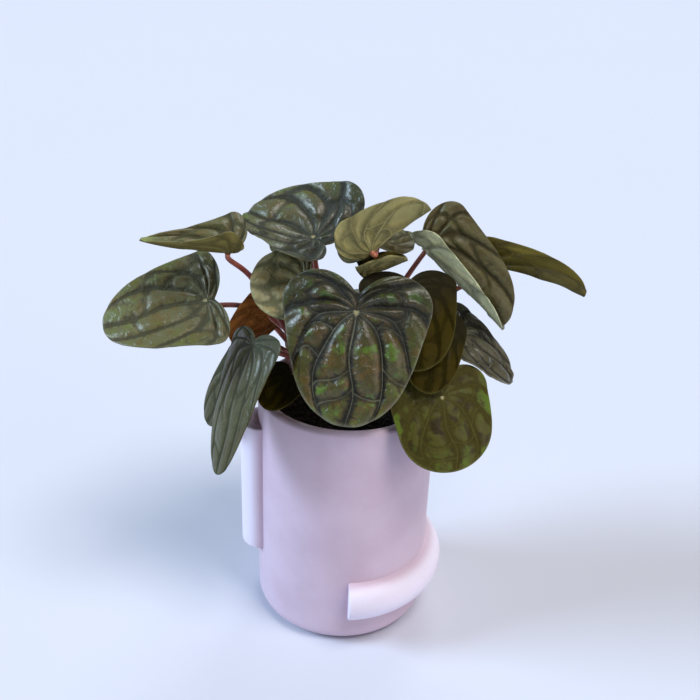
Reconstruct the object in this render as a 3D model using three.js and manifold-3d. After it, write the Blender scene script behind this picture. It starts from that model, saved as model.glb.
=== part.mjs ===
// Potted peperomia: a matte ceramic pot with two half-round bars on its wall, filled with
// soil, and a rosette of heart-shaped, deeply veined leaves on red stalks.
// Millimetres, +Z up. The origin is the middle of the pot's flat base, and -Y is the front.

import * as THREE from 'three';
import { mergeVertices } from 'three/addons/utils/BufferGeometryUtils.js';
import Module from 'manifold-3d';

const wasm = await Module();
wasm.setup();

// Pot
const POT_RADIUS = 42.5;
const POT_HEIGHT = 122.5;
const WALL = 5;
const FLOOR = 6;
const BASE_ROUND = 9;
const INNER_ROUND = 5;
const POT_SEGMENTS = 48;
const ROUND_STEPS = 5;

// Half-round bars on the wall: their section, the upright one and the level one
const BAR_HALF_WIDTH = 10.7;
const BAR_PROUD = 8.5;
const BAR_STEPS = 9;
const BAR_ROOT = 2.5;
const UPRIGHT_AZIMUTH = -171;
const UPRIGHT_BOTTOM = 36.7;
const UPRIGHT_TOP = 107;
const LEVEL_HEIGHT = 28;
const LEVEL_START = -84.5;
const LEVEL_END = 40;
const LEVEL_STEPS = 20;

// Soil and the crown that every stalk grows from
const CLEARANCE = 0.3;
const SOIL_EDGE = 113;
const SOIL_MIDDLE = 115;
const SOIL_SEGMENTS = 36;
const SOIL_SWELL = 0.6;
const SOIL_GRAIN = 0.5;
const SOIL_GRAIN_TURNS = [1.9, 1.7];
const CROWN_RADIUS = 13;
const CROWN_BOTTOM = 104;
const CROWN_TOP = 119;
const CROWN_CHAMFER = 3;
const CROWN_SHOULDER = 5;
const CROWN_SEGMENTS = 18;

// Stalks
const STALK_RADIUS = 1.25;
const STALK_SIDES = 6;
const STALK_STEPS = 8;
const STALK_ROOT = 8.5;
const STALK_DEPTH = 5;
const STALK_NECK = 2;
const STALK_RISE = 0.6;

// Leaf blades: thickness, depth of the pleats between the veins, and the mesh's rings
const THICK = 0.9;
const PLEAT = 1.5;
const PLEAT_START = 0.12;
const PLEAT_SPREAD = 0.75;
const RINGS = [0.28, 0.56, 0.82, 1];

// The main veins, from the midrib to the notch: their angles where they leave the stalk and
// where they reach the edge
const VEIN_LEAVES = [0, 48, 84, 118, 150, 180];
const VEIN_REACHES = [0, 24, 56, 92, 132, 180];
const VEIN_SPACES = VEIN_LEAVES.length - 1;
const FOLD_SHARE = 0.35;

// The blade's outline: radius by angle as shares of its length, its notch and its own width
const HEART_BODY = [0.7, 0.16, 0.06, 0.08];
const NOTCH_DEPTH = 0.3;
const NOTCH_SPREAD = 0.42;
const HEART_WIDTH = 1.3;

const degrees = (angle) => THREE.MathUtils.degToRad(angle);
const vector = (values) => new THREE.Vector3(...values);

// Every leaf: where its stalk meets it, its tip, the way its upper side looks, its width,
// how far its left and right halves rise at the edge (left and right as seen looking from
// the stalk to the tip), how far the midrib bends down, how long the lobes behind the stalk
// are, how much the blade narrows towards its tip, a point its stalk passes, and its colour.
const LEAVES = [
  { name: 'leaf_front', at: [2.6, -30, 176], tip: [-0.5, -50, 131], face: [0, -1, 0.5],
    width: 65, cup: [-5, -14], arch: 14, lobe: 0.73, taper: 0.1, colour: 0x4a4a38 },
  { name: 'leaf_front_low', at: [42, -30, 136], tip: [49.5, -45, 107], face: [0.4, -1, 0.6],
    width: 49, cup: [-10, -10], arch: 12, lobe: 0.8, taper: -0.2, colour: 0x4b4a1c },
  { name: 'leaf_right_upper', at: [26, -14, 181], tip: [30, -35, 151], face: [0.3, -0.9, 0.5],
    width: 46, cup: [-10, -16], arch: 20, lobe: 0.5, taper: 0, via: [20, 5, 158], colour: 0x3c3818 },
  { name: 'leaf_right_inner', at: [38, -15, 162], tip: [34, -36, 141], face: [0.3, -0.7, 0.7],
    width: 32, cup: [-10, -10], arch: 16, lobe: 0.8, taper: 0, colour: 0x35320f },
  { name: 'leaf_right_small', at: [52, 2, 151], tip: [78, 1, 129], face: [0.6, -0.2, 0.8],
    width: 40, cup: [10, 5], arch: 12, lobe: 0.7, taper: 0.15, colour: 0x54564a },
  { name: 'leaf_right_trough', at: [35.5, 22, 185.6], tip: [74, 18, 149.2], face: [0.05, -0.9, 0.4],
    width: 50, cup: [2, 150], arch: 14, lobe: 0.45, taper: 0, colour: 0x6a6250 },
  { name: 'leaf_right_far', at: [67, 36, 172.7], tip: [113, 30, 160.6], face: [0.1, 0.15, 1],
    width: 38, cup: [42, 85], arch: 16, lobe: 0.6, taper: -0.1, via: [36, 18, 156], colour: 0x59541c },
  { name: 'leaf_top_right', at: [8, -9, 195], tip: [33, -2, 213], face: [-0.45, 0.75, 0.45],
    width: 48, cup: [110, 20], arch: 10, lobe: 0.75, taper: 0.1, via: [8, 14, 190], colour: 0x5d5a30 },
  { name: 'leaf_top_inner', at: [5.6, -9.8, 183], tip: [24, -9.8, 192.3], face: [-0.35, 0.75, 0.55],
    width: 22, cup: [140, 5], arch: 8, lobe: 0.08, taper: 0, colour: 0x4a3a14 },
  { name: 'leaf_top', at: [-18, 12, 192.5], tip: [-49.5, 30, 197], face: [0, -0.25, 1],
    width: 64, cup: [30, 48], arch: 8, lobe: 0.8, taper: 0.3, via: [-14, 11, 162], colour: 0x5d6054 },
  { name: 'leaf_left_trough', at: [-54, -10, 193], tip: [-91.5, -12, 197.5], face: [0, -0.1, 1],
    width: 42, cup: [75, 44], arch: -12, lobe: 0.45, taper: 0.7, via: [-45, 3, 175], colour: 0x5e5c30 },
  { name: 'leaf_left_far', at: [-64, -10, 169.3], tip: [-109, -18, 158], face: [-0.2, -0.5, 0.85],
    width: 54, cup: [8, 10], arch: 14, lobe: 0.36, taper: 0.12, via: [-44, 24, 148], colour: 0x5a5c50 },
  { name: 'leaf_left_shade', at: [-21, -4, 177], tip: [-45, -6, 175.5], face: [-0.1, -0.7, 0.7],
    width: 40, cup: [0, -10], arch: 14, lobe: 0.35, taper: 0, colour: 0x45441e },
  { name: 'leaf_left_red', at: [-38, 11.6, 153.7], tip: [-54, 10.6, 136.2], face: [-0.4, 0.9, 0.3],
    width: 30, cup: [20, 20], arch: 10, lobe: 0.8, taper: 0, colour: 0x4a2410 },
  { name: 'leaf_left_hanging', at: [-42, -26, 156], tip: [-56, -50, 104], face: [-0.9, -0.55, 0.3],
    width: 42, cup: [-5, -5], arch: 14, lobe: 0.25, taper: 0.2, colour: 0x565a4c },
  { name: 'leaf_left_behind', at: [-50, -7, 134], tip: [-66, -11, 106], face: [-0.8, -0.5, 0.4],
    width: 32, cup: [0, 0], arch: 12, lobe: 0.45, taper: 0, colour: 0x4a4a38 },
  { name: 'leaf_left_low', at: [-27, -19, 136], tip: [-37, -29, 126], face: [-0.3, -0.6, 0.6],
    width: 22, cup: [5, 5], arch: 8, lobe: 0.7, taper: 0, colour: 0x3a360f },
  { name: 'leaf_back_right_low', at: [46, 16, 135], tip: [64, 24, 106], face: [0.8, 0.3, 0.5],
    width: 38, cup: [-10, -10], arch: 14, lobe: 0.8, taper: 0, colour: 0x45441e },
  { name: 'leaf_back_right', at: [25, 43, 146], tip: [37, 69, 128], face: [0.4, 0.5, 0.8],
    width: 36, cup: [5, 5], arch: 16, lobe: 0.8, taper: 0, colour: 0x4b4a1c },
  { name: 'leaf_right_back', at: [48, 34, 148], tip: [68, 42, 130], face: [0.5, 0.3, 0.8],
    width: 34, cup: [5, 5], arch: 14, lobe: 0.8, taper: 0, via: [20, 16, 146], colour: 0x565a4c },
  { name: 'leaf_back_low', at: [22, 47, 130], tip: [31, 64, 100], face: [0.3, 0.9, 0.5],
    width: 36, cup: [-10, -10], arch: 14, lobe: 0.6, taper: 0, colour: 0x4a4a38 },
  { name: 'leaf_back', at: [-14, 40, 152], tip: [-16, 74, 135], face: [0, 0.4, 0.9],
    width: 44, cup: [5, 8], arch: 16, lobe: 0.8, taper: 0, colour: 0x565a4c },
  { name: 'leaf_back_left_low', at: [-16, 46, 133], tip: [-23, 64, 103], face: [-0.3, 0.9, 0.5],
    width: 36, cup: [-8, -8], arch: 14, lobe: 0.8, taper: 0, colour: 0x45441e },
  { name: 'leaf_back_left', at: [-46, 36, 131], tip: [-62, 44, 103], face: [-0.8, 0.5, 0.5],
    width: 36, cup: [-5, -5], arch: 14, lobe: 0.8, taper: 0, colour: 0x4a4a38 },
  { name: 'leaf_back_upper_left', at: [-23, 38, 180], tip: [-33, 64, 180], face: [-0.3, 0.4, 0.9],
    width: 36, cup: [5, 5], arch: 14, lobe: 0.6, taper: 0, colour: 0x5d6054 },
  { name: 'leaf_back_upper_right', at: [12, 36, 182], tip: [20, 62, 180], face: [0.2, 0.4, 0.9],
    width: 36, cup: [8, 5], arch: 14, lobe: 0.6, taper: 0, colour: 0x5d5a30 },
];

// The blade's outline as a share of its length: a round heart with a notch at the stalk
function heartRadius(angle) {
  const body = HEART_BODY.reduce((sum, part, turns) => sum + part * Math.cos(turns * angle), 0);
  const fromNotch = (Math.PI - Math.abs(angle)) / NOTCH_SPREAD;
  return body - NOTCH_DEPTH * Math.exp(-fromNotch * fromNotch);
}

// The direction of a place between the veins: 0 is the midrib, and each whole number a vein
function veinAngle(place, share) {
  const around = 2 * VEIN_SPACES;
  const wrapped = (place + VEIN_SPACES + around) % around - VEIN_SPACES;
  const from = Math.min(Math.floor(Math.abs(wrapped)), VEIN_SPACES - 1);
  const angleOf = (vein) => VEIN_LEAVES[vein] + (VEIN_REACHES[vein] - VEIN_LEAVES[vein]) * share;
  const between = Math.abs(wrapped) - from;
  return Math.sign(wrapped) * degrees(angleOf(from) + (angleOf(from + 1) - angleOf(from)) * between);
}

// Length along and across a bend that turns evenly from one angle to another
function bend(start, end, length, along) {
  const rate = (end - start) / length;
  if (Math.abs(rate) < 1e-6) return [along * Math.cos(start), along * Math.sin(start)];
  const turned = start + rate * along;
  return [(Math.sin(turned) - Math.sin(start)) / rate, (Math.cos(start) - Math.cos(turned)) / rate];
}

// A leaf's own frame and its smooth middle surface
function leafSurface(leaf) {
  const base = vector(leaf.at);
  const chord = vector(leaf.tip).sub(base);
  const arch = degrees(leaf.arch);
  const length = chord.length() * (Math.abs(arch) < 1e-6 ? 1 : arch / 2 / Math.sin(arch / 2));
  const ahead = chord.normalize();
  const right = new THREE.Vector3().crossVectors(ahead, vector(leaf.face)).normalize();
  const up = new THREE.Vector3().crossVectors(right, ahead);
  ahead.applyAxisAngle(right, arch / 2);
  up.applyAxisAngle(right, arch / 2);
  const [cupLeft, cupRight] = leaf.cup.map(degrees);
  const half = leaf.width / 2;

  const point = (place, share) => {
    const angle = veinAngle(place, share);
    const radius = heartRadius(angle) * length * share;
    let along = radius * Math.cos(angle);
    let across = radius * Math.sin(angle) * leaf.width / (HEART_WIDTH * length);
    if (along < 0) along *= leaf.lobe;
    else across *= 1 - leaf.taper * along / length;
    const cup = across < 0 ? cupLeft : cupRight;
    const [side, rise] = bend(cup * FOLD_SHARE, cup, half, Math.abs(across));
    const slope = arch * along / length;
    const [forward, drop] = bend(0, arch, length, along);
    return base.clone()
      .addScaledVector(ahead, forward + rise * Math.sin(slope))
      .addScaledVector(right, Math.sign(across) * side)
      .addScaledVector(up, rise * Math.cos(slope) - drop);
  };

  const normal = (place, share) => {
    const step = 0.01;
    const outward = point(place, share + step).sub(point(place, share - step));
    const around = point(place + step, share).sub(point(place - step, share));
    return outward.cross(around).normalize().negate();
  };

  return { base, up, point, normal };
}

// Pleats: sharp valleys along the veins, soft ridges between them
function pleat(place, share) {
  const ridge = Math.abs(Math.sin(Math.PI * place));
  return PLEAT * ridge * Math.sin(Math.PI * Math.min(1, PLEAT_START + PLEAT_SPREAD * share));
}

function leafGeometry(leaf) {
  const surface = leafSurface(leaf);
  const spokes = 4 * VEIN_SPACES;
  const tops = [surface.base.clone()];
  const bottoms = [surface.base.clone().addScaledVector(surface.up, -THICK)];
  for (const share of RINGS) {
    for (let spoke = 0; spoke < spokes; spoke++) {
      const place = spoke / 2 - VEIN_SPACES;
      const normal = surface.normal(place, share);
      const top = surface.point(place, share).addScaledVector(normal, pleat(place, share));
      tops.push(top);
      bottoms.push(top.clone().addScaledVector(normal, -THICK));
    }
  }
  const count = tops.length;
  const index = [];
  const both = (a, b, c) => index.push(a, b, c, count + a, count + c, count + b);
  const vertex = (ring, spoke) => 1 + ring * spokes + spoke % spokes;
  for (let spoke = 0; spoke < spokes; spoke++) {
    both(0, vertex(0, spoke + 1), vertex(0, spoke));
    for (let ring = 1; ring < RINGS.length; ring++) {
      both(vertex(ring - 1, spoke), vertex(ring - 1, spoke + 1), vertex(ring, spoke));
      both(vertex(ring - 1, spoke + 1), vertex(ring, spoke + 1), vertex(ring, spoke));
    }
    const edge = RINGS.length - 1;
    const [here, next] = [vertex(edge, spoke), vertex(edge, spoke + 1)];
    index.push(here, next, count + here, next, count + next, count + here);
  }
  const geometry = new THREE.BufferGeometry().setFromPoints([...tops, ...bottoms]);
  geometry.setIndex(index);
  return geometry;
}

// Joins and cuts: a geometry as a solid, and a solid as a geometry
function toSolid(geometry) {
  const bare = geometry.clone();
  bare.deleteAttribute('normal');
  bare.deleteAttribute('uv');
  const merged = mergeVertices(bare, 1e-4);
  return new wasm.Manifold(new wasm.Mesh({
    numProp: 3,
    vertProperties: new Float32Array(merged.attributes.position.array),
    triVerts: new Uint32Array(merged.index.array),
  }));
}

function toGeometry(solid) {
  const mesh = solid.getMesh();
  const geometry = new THREE.BufferGeometry();
  geometry.setAttribute('position', new THREE.BufferAttribute(mesh.vertProperties, 3));
  geometry.setIndex(new THREE.BufferAttribute(mesh.triVerts, 1));
  return geometry;
}

// A profile of [radius, height] pairs turned round the vertical axis
function turned(profile, segments) {
  const points = profile.map(([radius, height]) => new THREE.Vector2(radius, height));
  return new THREE.LatheGeometry(points, segments).rotateX(Math.PI / 2);
}

// Points on an arc in a profile, from one angle to another in degrees
function arc(radius, middleRadius, middleHeight, from, to, steps = ROUND_STEPS) {
  return Array.from({ length: steps + 1 }, (_, step) => {
    const angle = degrees(from + (to - from) * step / steps);
    return [middleRadius + radius * Math.cos(angle), middleHeight + radius * Math.sin(angle)];
  });
}

// The bar's half-round section: across the bar, and out from the pot's middle
const BAR_SECTION_RADIUS = (BAR_HALF_WIDTH ** 2 + BAR_PROUD ** 2) / (2 * BAR_PROUD);
const BAR_SECTION_MIDDLE = POT_RADIUS + BAR_PROUD - BAR_SECTION_RADIUS;

function barSection() {
  const half = THREE.MathUtils.radToDeg(Math.asin(BAR_HALF_WIDTH / BAR_SECTION_RADIUS));
  const crest = arc(BAR_SECTION_RADIUS, BAR_SECTION_MIDDLE, 0, -half, half, BAR_STEPS);
  const root = POT_RADIUS - BAR_ROOT;
  return [[root, -BAR_HALF_WIDTH], ...crest, [root, BAR_HALF_WIDTH]];
}

function uprightBar() {
  const shape = new THREE.Shape(barSection().map(([out, across]) => new THREE.Vector2(out, across)));
  const bar = new THREE.ExtrudeGeometry(shape, { depth: UPRIGHT_TOP - UPRIGHT_BOTTOM, bevelEnabled: false });
  return bar.translate(0, 0, UPRIGHT_BOTTOM).rotateZ(degrees(UPRIGHT_AZIMUTH));
}

function levelBar() {
  const section = barSection();
  const rows = [];
  for (let step = 0; step <= LEVEL_STEPS; step++) {
    const azimuth = degrees(LEVEL_START + (LEVEL_END - LEVEL_START) * step / LEVEL_STEPS);
    for (const [out, across] of section) {
      rows.push(new THREE.Vector3(out * Math.cos(azimuth), out * Math.sin(azimuth), LEVEL_HEIGHT + across));
    }
  }
  const size = section.length;
  const index = [];
  for (let step = 0; step < LEVEL_STEPS; step++) {
    for (let corner = 0; corner < size; corner++) {
      const here = step * size + corner;
      const beside = step * size + (corner + 1) % size;
      index.push(here, here + size, beside, beside, here + size, beside + size);
    }
  }
  const last = LEVEL_STEPS * size;
  for (let corner = 1; corner < size - 1; corner++) {
    index.push(0, corner, corner + 1, last, last + corner + 1, last + corner);
  }
  const geometry = new THREE.BufferGeometry().setFromPoints(rows);
  geometry.setIndex(index);
  return geometry;
}

function potGeometry() {
  const lip = WALL / 2;
  const inside = POT_RADIUS - WALL;
  const profile = [
    [0, 0],
    ...arc(BASE_ROUND, POT_RADIUS - BASE_ROUND, BASE_ROUND, -90, 0),
    ...arc(lip, POT_RADIUS - lip, POT_HEIGHT - lip, 0, 180),
    ...arc(INNER_ROUND, inside - INNER_ROUND, FLOOR + INNER_ROUND, 0, -90),
    [0, FLOOR],
  ];
  const shell = toSolid(turned(profile, POT_SEGMENTS));
  return toGeometry(shell.add(toSolid(uprightBar())).add(toSolid(levelBar())));
}

// Soil fills the pot and has a plain round hole for the crown
function soilGeometry() {
  const outside = POT_RADIUS - WALL - CLEARANCE;
  const well = CROWN_RADIUS + CLEARANCE;
  const round = INNER_ROUND;
  const profile = [
    [0, FLOOR + CLEARANCE],
    ...arc(round, outside - round, FLOOR + CLEARANCE + round, -90, 0, 3),
    [outside, SOIL_EDGE],
    [(outside * 3 + well) / 4, SOIL_EDGE + SOIL_SWELL],
    [(outside + well) / 2, (SOIL_EDGE + SOIL_MIDDLE) / 2],
    [(outside + well * 3) / 4, SOIL_MIDDLE - SOIL_SWELL],
    [well, SOIL_MIDDLE],
    [well, CROWN_BOTTOM - CLEARANCE],
    [0, CROWN_BOTTOM - CLEARANCE],
  ];
  const geometry = turned(profile, SOIL_SEGMENTS);
  const place = geometry.attributes.position;
  for (let i = 0; i < place.count; i++) {
    const [x, y, z] = [place.getX(i), place.getY(i), place.getZ(i)];
    const radius = Math.hypot(x, y);
    if (z < SOIL_EDGE - 1 || radius > outside - 1 || radius < well + 1) continue;
    const grain = Math.sin(SOIL_GRAIN_TURNS[0] * x) * Math.cos(SOIL_GRAIN_TURNS[1] * y);
    place.setZ(i, z + SOIL_GRAIN * grain);
  }
  return toGeometry(toSolid(geometry));
}

// A stalk rises from the crown and meets its blade from below
function stalkGeometry(leaf) {
  const surface = leafSurface(leaf);
  const end = surface.base.clone().addScaledVector(surface.up, -THICK - CLEARANCE);
  const neck = end.clone().addScaledVector(surface.up, -STALK_NECK);
  const middle = leaf.via ? vector(leaf.via) : new THREE.Vector3(neck.x / 2, neck.y / 2,
    CROWN_TOP + STALK_RISE * (neck.z - CROWN_TOP));
  const azimuth = Math.atan2(middle.y, middle.x);
  const root = new THREE.Vector3(
    STALK_ROOT * Math.cos(azimuth), STALK_ROOT * Math.sin(azimuth), CROWN_TOP - STALK_DEPTH);
  const route = new THREE.CatmullRomCurve3([root, middle, neck, end]);
  const section = Array.from({ length: STALK_SIDES }, (_, side) => {
    const angle = 2 * Math.PI * side / STALK_SIDES;
    return new THREE.Vector2(STALK_RADIUS * Math.cos(angle), STALK_RADIUS * Math.sin(angle));
  });
  return new THREE.ExtrudeGeometry(new THREE.Shape(section), {
    steps: STALK_STEPS, extrudePath: route, bevelEnabled: false,
  });
}

function crownGeometry() {
  const profile = [
    [0, CROWN_BOTTOM],
    [CROWN_RADIUS - CROWN_CHAMFER, CROWN_BOTTOM],
    [CROWN_RADIUS, CROWN_BOTTOM + CROWN_CHAMFER],
    [CROWN_RADIUS, CROWN_TOP - CROWN_SHOULDER],
    [CROWN_RADIUS - CROWN_CHAMFER, CROWN_TOP - 1],
    [0, CROWN_TOP],
  ];
  let plant = toSolid(turned(profile, CROWN_SEGMENTS));
  for (const leaf of LEAVES) plant = plant.add(toSolid(stalkGeometry(leaf)));
  return toGeometry(plant);
}

const potMaterial = new THREE.MeshStandardMaterial({ color: 0xb9afcb, roughness: 0.6, metalness: 0 });
const soilMaterial = new THREE.MeshStandardMaterial({ color: 0x14100c, roughness: 1, metalness: 0 });
const stalkMaterial = new THREE.MeshStandardMaterial({ color: 0x8a4038, roughness: 0.5, metalness: 0 });

function named(name, geometry, material) {
  const mesh = new THREE.Mesh(geometry, material);
  mesh.name = name;
  return mesh;
}

const pottedPlant = new THREE.Group();
const plant = new THREE.Group();
pottedPlant.add(named('pot', potGeometry(), potMaterial));
pottedPlant.add(named('soil', soilGeometry(), soilMaterial));
pottedPlant.add(plant);
plant.add(named('crown_and_stalks', crownGeometry(), stalkMaterial));
for (const leaf of LEAVES) {
  const material = new THREE.MeshStandardMaterial({ color: leaf.colour, roughness: 0.45, metalness: 0 });
  plant.add(named(leaf.name, leafGeometry(leaf), material));
}

export default pottedPlant;
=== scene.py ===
"""Looks for a potted peperomia: a matt lilac pot with two half-round bars on its wall, dark soil,
red stalks and heart-shaped leaves with sunken veins. Lengths are in millimetres, apart from the
settings, which hold metres as the scene does, and the camera's place."""

import math

import bpy
import numpy as np
from bpy.props import FloatProperty, FloatVectorProperty, IntProperty, PointerProperty
from mathutils import Matrix, Vector


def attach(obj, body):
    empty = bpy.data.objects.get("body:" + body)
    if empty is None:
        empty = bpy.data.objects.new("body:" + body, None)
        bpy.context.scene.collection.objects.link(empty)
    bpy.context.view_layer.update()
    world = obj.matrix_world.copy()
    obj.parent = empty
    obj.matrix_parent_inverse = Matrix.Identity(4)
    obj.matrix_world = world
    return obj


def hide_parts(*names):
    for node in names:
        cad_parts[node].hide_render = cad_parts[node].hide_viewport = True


bl_info = {
    "name": "Potted peperomia",
    "version": (1, 0, 0),
    "blender": (4, 5, 0),
    "location": "View3D > Sidebar > Peperomia",
    "description": "Makes the finished pieces of a potted peperomia over its solid frame",
    "category": "Add Mesh",
}

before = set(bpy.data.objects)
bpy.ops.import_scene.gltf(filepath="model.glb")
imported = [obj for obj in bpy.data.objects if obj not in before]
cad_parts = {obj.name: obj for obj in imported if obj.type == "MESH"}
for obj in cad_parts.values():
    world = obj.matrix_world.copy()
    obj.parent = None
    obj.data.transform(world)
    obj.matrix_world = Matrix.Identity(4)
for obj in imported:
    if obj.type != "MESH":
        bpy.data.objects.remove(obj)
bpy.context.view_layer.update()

MM = 0.001

# The pot's wall and its two half-round bars
FLOOR = 6
BASE_ROUND = 9
INNER_ROUND = 5
BAR_ROOT = 2.5
UPRIGHT_AZIMUTH = -171
UPRIGHT_BOTTOM = 36.7
UPRIGHT_TOP = 107
LEVEL_HEIGHT = 28
LEVEL_START = -84.5
LEVEL_END = 40
UPRIGHT_STEPS = 20
LEVEL_STEPS = 90
SOFT_EDGE = 0.8
WELD_DISTANCE = 0.01

# Soil, and the crown that every stalk grows from
CLEARANCE = 0.3
SOIL_EDGE = 113
SOIL_MIDDLE = 115
CROWN_RADIUS = 13
CROWN_BOTTOM = 104
CROWN_TOP = 119
STALK_ROOT = 8.5
STALK_DEPTH = 5
STALK_NECK = 2
STALK_RISE = 0.6
STALK_STEPS = 30
KNOB_HEIGHT = 0.5
CRUMB_MARGIN = 1.5
SMALLEST_CRUMB = (0.25, 0.25, 0.2)
FULL_TURNS = (6.28, 6.28, 6.28)

# Leaf blades: thickness, half-widths of the fine grooves, the shares of the way to the edge
# where the relief starts and spreads and where the edge begins, how wavy the veins are, how
# uneven the swells are, and how a vein line fades from the midrib to the notch
THICK = 0.9
CROSS_GROOVE = 1.7
FORK_GROOVE = 1.3
STALK_FLAT = 0.15
PLEAT_START = 0.12
PLEAT_SPREAD = 0.75
EDGE_START = 0.955
WAVER = 0.09
UNEVEN = ((0.2, 2.1, 5), (0.16, 3.7, -9), (0.1, 7.3, 14))
VEIN_FADE = ((0, 1.4, 3, 5), (1, 1, 0.35, 0.2))

# Their fold, outline, main veins, mesh and flat map
ROW_SPREAD = 0.92
COLUMN_BUNCH = 0.7
FOLD_SHARE = 0.35
HEART_BODY = (0.7, 0.16, 0.06, 0.08)
NOTCH_DEPTH = 0.3
NOTCH_SPREAD = 0.42
HEART_WIDTH = 1.3
VEIN_LEAVES = (0, 58, 92, 124, 158, 180)
VEIN_REACHES = (0, 14, 46, 84, 128, 180)
VEIN_CURVE = 1.5
VEIN_SPACES = len(VEIN_LEAVES) - 1
SPACE_COLUMNS = (0.8, 1.0, 1.0, 1.1, 1.2)
FAR_OFF = 6.0
MAP_SCALE = 0.1
MAP_STEP = (7.3, 3.1)

# Cross veins of the front leaf, one row a space between two main veins, from the left side
# of the notch round to the right side. Each has its share of the way to the edge at the vein
# before it and at the vein after it, and how far its middle bows outward.
FRONT_CROSS_VEINS = (
    ((0.6, 0.66, 0.03),),
    ((0.62, 0.52, 0.06),),
    ((0.66, 0.52, 0.06),),
    ((0.72, 0.34, -0.1), (1.05, 0.63, 0.03)),
    ((0.86, 0.7, 0.02),),
    ((0.5, 0.84, -0.04), (0.66, 0.95, 0.02)),
    ((0.36, 0.72, -0.12), (0.62, 0.9, -0.03)),
    ((0.5, 0.64, 0.05),),
    ((0.6, 0.66, 0.06),),
    ((0.56, 0.66, 0.05),),
)

# Where the camera stands, in metres, and in degrees how far it looks down and how far it
# leans, so that the pot stands in the view as in the photograph
CAMERA_PLACE = (0.00053, -0.40164, 0.35187)
CAMERA_DOWN = 27.595
CAMERA_LEAN = 2.226

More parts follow.
